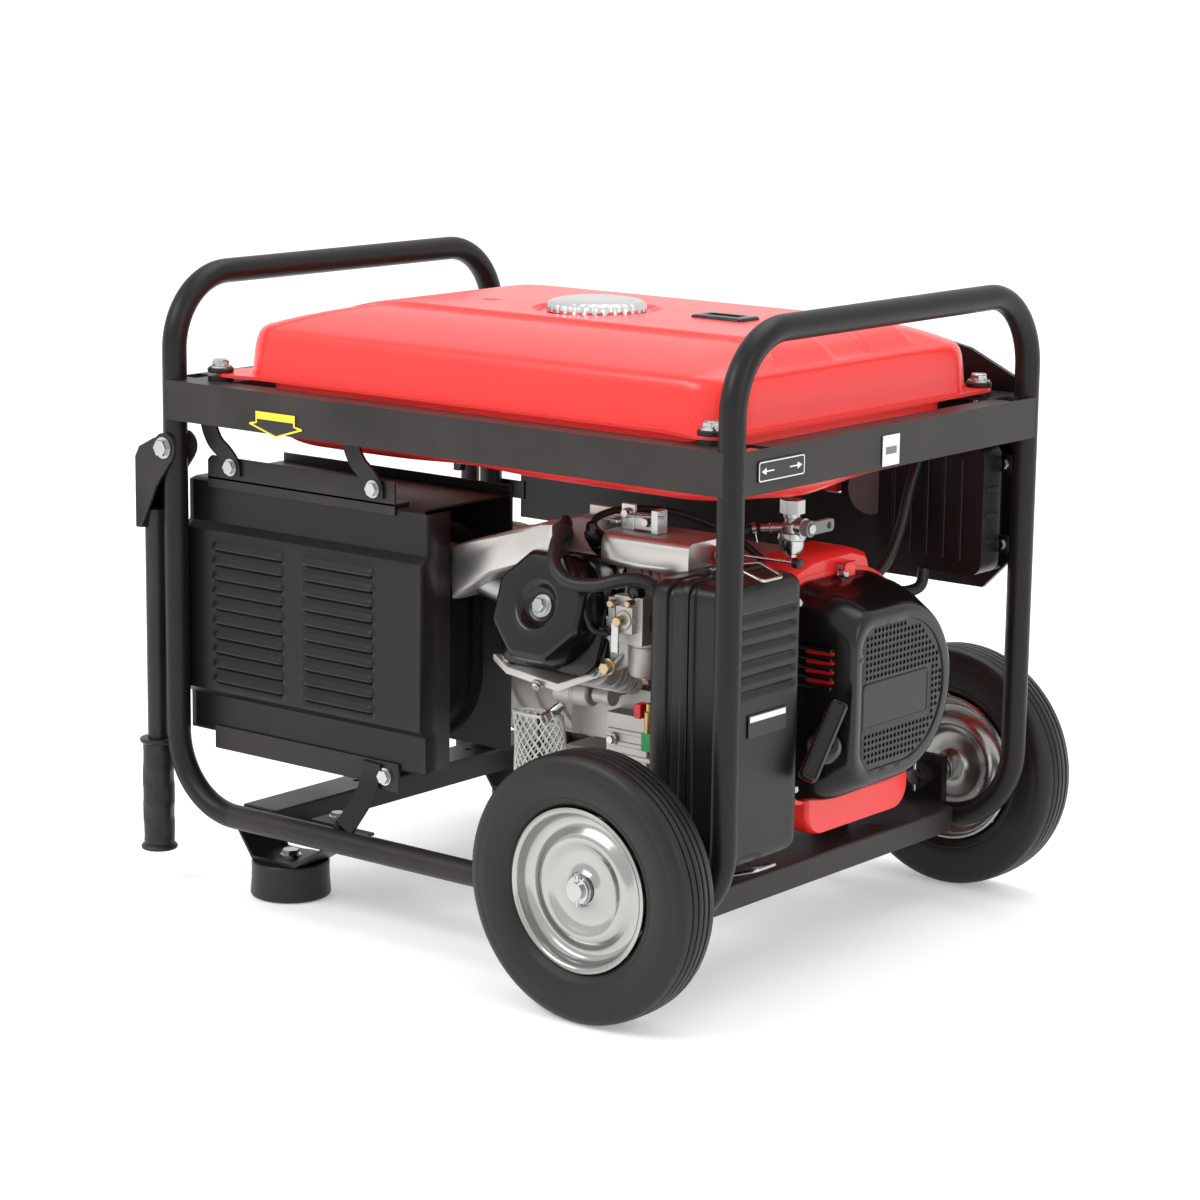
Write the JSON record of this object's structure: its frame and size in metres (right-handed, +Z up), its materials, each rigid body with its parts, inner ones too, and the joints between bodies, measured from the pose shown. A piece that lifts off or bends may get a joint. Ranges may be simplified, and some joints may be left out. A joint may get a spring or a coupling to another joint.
{
  "type": "portable generator",
  "caption": "Open-frame petrol generator on two wheels and two feet, with fold-down lift handles, fuel tank, muffler, engine, alternator and control panel.",
  "frame": {"origin": "middle of the footprint on the floor", "axes": "+X towards the wheel and recoil end, +Y towards the control panel, +Z up"},
  "size_m": [0.7716, 0.67, 0.6495],
  "materials": {
    "frame_paint": "satin black powder coat",
    "black_sheet": "satin black heat paint",
    "tank_red": "gloss red enamel",
    "housing_red": "gloss red enamel",
    "zinc": "bright zinc plating",
    "cast_aluminium": "as cast",
    "sheet_aluminium": "rolled",
    "steel": "machined",
    "iron": "cast",
    "tyre_rubber": "matte",
    "rubber": "matte",
    "black_plastic": "fine texture",
    "gloss_plastic": "semi-gloss",
    "red_plastic": "gloss",
    "grey_plastic": "matte",
    "foam": "open-cell foam",
    "woven_sleeve": "woven glass fibre",
    "pipe_steel": "heat-stained steel",
    "copper": "enamelled winding over laminations"
  },
  "bodies": {
    "frame": {"left_end_hoop": "frame_paint", "right_end_hoop": "frame_paint", "bottom_rails": "frame_paint", "tank_support_bars": "frame_paint", "left_crossmember": "frame_paint", "right_crossmember": "frame_paint", "welded_brackets": "frame_paint", "rubber_feet": "rubber", "wheel_axles": "zinc", "tank_upper_shell": "tank_red", "tank_lower_shell": "tank_red", "rubber_mounts": "rubber", "fuel_gauge_housing": "gloss_plastic", "fuel_valve_body": "zinc", "muffler_body": "black_sheet", "muffler_shield": "black_sheet", "muffler_brackets": "black_sheet", "exhaust_pipe": "pipe_steel", "exhaust_shroud": "sheet_aluminium", "crankcase": "cast_aluminium", "cylinder_head": "cast_aluminium", "rocker_cover": "black_sheet", "blower_housing": "housing_red", "fan_cover": "gloss_plastic", "alternator_housing": "cast_aluminium", "alternator_stator": "copper", "air_filter_case": "black_plastic", "air_filter_cover": "black_plastic", "air_filter_element": "foam", "carburettor": "cast_aluminium", "hoses": "rubber", "spark_plug": "rubber", "heat_sleeve": "woven_sleeve", "control_box": "black_plastic", "control_panel": "black_plastic", "power_sockets": "grey_plastic", "fasteners": "zinc"},
    "near_wheel": {"near_tyre": "tyre_rubber", "near_rim": "zinc"},
    "far_wheel": {"far_tyre": "tyre_rubber", "far_rim": "zinc"},
    "near_handle": {"near_lift_handle": "frame_paint", "near_handle_grip": "rubber"},
    "far_handle": {"far_lift_handle": "frame_paint", "far_handle_grip": "rubber"},
    "cap_insert": {"fuel_cap_insert": "black_plastic"},
    "cap": {"fuel_cap": "sheet_aluminium"},
    "valve_lever": {"fuel_valve_lever": "grey_plastic"},
    "recoil": {"recoil_grip": "black_plastic"},
    "pulley": {"recoil_pulley": "grey_plastic"},
    "crank_train": {"crankshaft": "steel", "flywheel": "iron", "alternator_rotor": "iron"},
    "piston": {"piston": "cast_aluminium"},
    "upper_clip": {"upper_filter_clip": "zinc"},
    "lower_clip": {"lower_filter_clip": "zinc"},
    "choke": {"choke_lever": "red_plastic"},
    "lid": {"socket_lid": "grey_plastic"},
    "switch": {"engine_switch": "red_plastic"},
    "breaker": {"breaker_toggle": "black_plastic"}
  },
  "joints": [
    {"name": "near_wheel_spin", "type": "hinge", "parent": "frame", "child": "near_wheel", "pos_m": [0.2588, -0.308, 0.127], "axis": [0, 1, 0], "continuous": true},
    {"name": "far_wheel_spin", "type": "hinge", "parent": "frame", "child": "far_wheel", "pos_m": [0.2588, 0.308, 0.127], "axis": [0, 1, 0], "continuous": true},
    {"name": "near_handle_lift", "type": "hinge", "parent": "frame", "child": "near_handle", "pos_m": [-0.3358, -0.2475, 0.464], "axis": [0, 1, 0], "range_deg": [0, 88]},
    {"name": "far_handle_lift", "type": "hinge", "parent": "frame", "child": "far_handle", "pos_m": [-0.3358, 0.2475, 0.464], "axis": [0, 1, 0], "range_deg": [0, 88]},
    {"name": "cap_lift", "type": "slide", "parent": "frame", "child": "cap_insert", "axis": [0, 0, 1], "range_m": [0, 0.05]},
    {"name": "cap_turn", "type": "hinge", "parent": "cap_insert", "child": "cap", "pos_m": [0.0342, -0.028, 0.613], "axis": [0, 0, 1], "range_deg": [0, 90]},
    {"name": "fuel_valve_turn", "type": "hinge", "parent": "frame", "child": "valve_lever", "pos_m": [0.2975, -0.036, 0.428], "axis": [1, 0, 0], "range_deg": [-90, 0]},
    {"name": "recoil_pull", "type": "slide", "parent": "frame", "child": "recoil", "axis": [0.6484, -0.6484, 0.399], "range_m": [0, 0.07], "stiffness_N_per_m": 60, "springref_m": -0.02},
    {"name": "pulley_spin", "type": "hinge", "parent": "frame", "child": "pulley", "pos_m": [0.3212, 0.05, 0.265], "axis": [1, 0, 0], "range_deg": [0, 95.99]},
    {"name": "crank_spin", "type": "hinge", "parent": "frame", "child": "crank_train", "pos_m": [0.1142, 0.05, 0.265], "axis": [1, 0, 0], "continuous": true},
    {"name": "piston_stroke", "type": "slide", "parent": "frame", "child": "piston", "axis": [0, 0.9455, -0.3256], "range_m": [0, 0.066]},
    {"name": "upper_clip_swing", "type": "hinge", "parent": "frame", "child": "upper_clip", "pos_m": [0.2982, -0.164, 0.4085], "axis": [0, 1, 0], "range_deg": [-100, 0]},
    {"name": "lower_clip_swing", "type": "hinge", "parent": "frame", "child": "lower_clip", "pos_m": [0.2982, -0.164, 0.1275], "axis": [0, 1, 0], "range_deg": [0, 60]},
    {"name": "choke_pull", "type": "slide", "parent": "frame", "child": "choke", "axis": [1, 0, 0], "range_m": [0, 0.015]},
    {"name": "socket_lid_swing", "type": "hinge", "parent": "frame", "child": "lid", "pos_m": [0.2592, 0.2764, 0.449], "axis": [1, 0, 0], "range_deg": [0, 110]},
    {"name": "engine_switch_rock", "type": "hinge", "parent": "frame", "child": "switch", "pos_m": [0.1242, 0.266, 0.42], "axis": [1, 0, 0], "range_deg": [0, 12]},
    {"name": "breaker_throw", "type": "hinge", "parent": "frame", "child": "breaker", "pos_m": [0.0542, 0.264, 0.42], "axis": [1, 0, 0], "range_deg": [-40, 0]}
  ],
  "couplings": [
    {"joint": "pulley_spin", "follows": "recoil_pull", "rad_per_m": 23.809}
  ]
}
